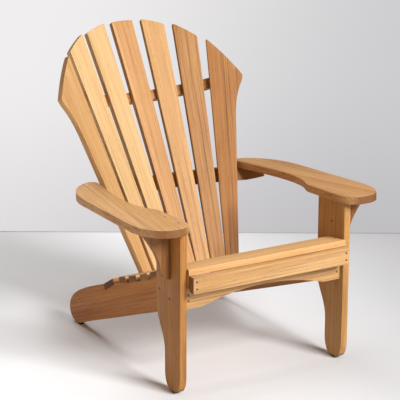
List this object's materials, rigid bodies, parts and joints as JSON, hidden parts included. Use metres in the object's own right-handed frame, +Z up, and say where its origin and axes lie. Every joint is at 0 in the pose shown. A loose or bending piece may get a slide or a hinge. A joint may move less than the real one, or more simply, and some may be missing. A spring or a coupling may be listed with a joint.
{
  "type": "adirondack chair",
  "caption": "Low garden lounge chair in teak with a fanned, hollowed slat back, a scooped slat seat, broad paddle arms and long side rails that run back to the ground.",
  "frame": {"origin": "on the ground under the middle of the chair's bounding box", "axes": "+Z up, -Y the way the sitter looks, +X towards the sitter's left, which is the right-hand side seen from the front"},
  "size_m": [0.83, 0.953, 0.9454],
  "materials": {
    "teak_honey": "planed teak, oiled, satin",
    "teak_pale": "planed teak, pale straw tone, satin",
    "teak_rose": "planed teak, pinkish tan, satin",
    "teak_brown": "planed teak, brown tone, satin",
    "screw_steel": "brushed stainless screw",
    "glide_rubber": "dark matt rubber"
  },
  "bodies": {
    "root": {"front_leg_left": "teak_brown", "side_rail_left": "teak_brown", "armrest_left": "teak_honey", "arm_bracket_left": "teak_rose", "foot_glide_front_left": "glide_rubber", "foot_glide_rear_left": "glide_rubber", "front_leg_right": "teak_honey", "side_rail_right": "teak_brown", "armrest_right": "teak_honey", "arm_bracket_right": "teak_rose", "foot_glide_front_right": "glide_rubber", "foot_glide_rear_right": "glide_rubber", "seat_slat_1": "teak_pale", "seat_slat_2": "teak_honey", "seat_slat_3": "teak_rose", "seat_slat_4": "teak_pale", "seat_slat_5": "teak_honey", "seat_slat_6": "teak_rose", "front_board": "teak_honey", "front_apron": "teak_honey", "back_slat_1": "teak_honey", "back_slat_2": "teak_pale", "back_slat_3": "teak_pale", "back_slat_4": "teak_rose", "back_slat_5": "teak_honey", "back_slat_6": "teak_honey", "back_slat_7": "teak_brown", "back_top_cleat": "teak_brown", "back_bottom_bar": "teak_brown", "arm_support_bar": "teak_brown", "leg_screw_left_1": "screw_steel", "front_board_screw_left_1": "screw_steel", "arm_screw_left_1": "screw_steel", "leg_screw_left_2": "screw_steel", "front_board_screw_left_2": "screw_steel", "arm_screw_left_2": "screw_steel", "apron_screw_left_1": "screw_steel", "apron_screw_left_2": "screw_steel", "arm_bar_screw_left": "screw_steel", "bracket_screw_left": "screw_steel", "leg_screw_right_1": "screw_steel", "front_board_screw_right_1": "screw_steel", "arm_screw_right_1": "screw_steel", "leg_screw_right_2": "screw_steel", "front_board_screw_right_2": "screw_steel", "arm_screw_right_2": "screw_steel", "apron_screw_right_1": "screw_steel", "apron_screw_right_2": "screw_steel", "arm_bar_screw_right": "screw_steel", "bracket_screw_right": "screw_steel"}
  },
  "joints": []
}
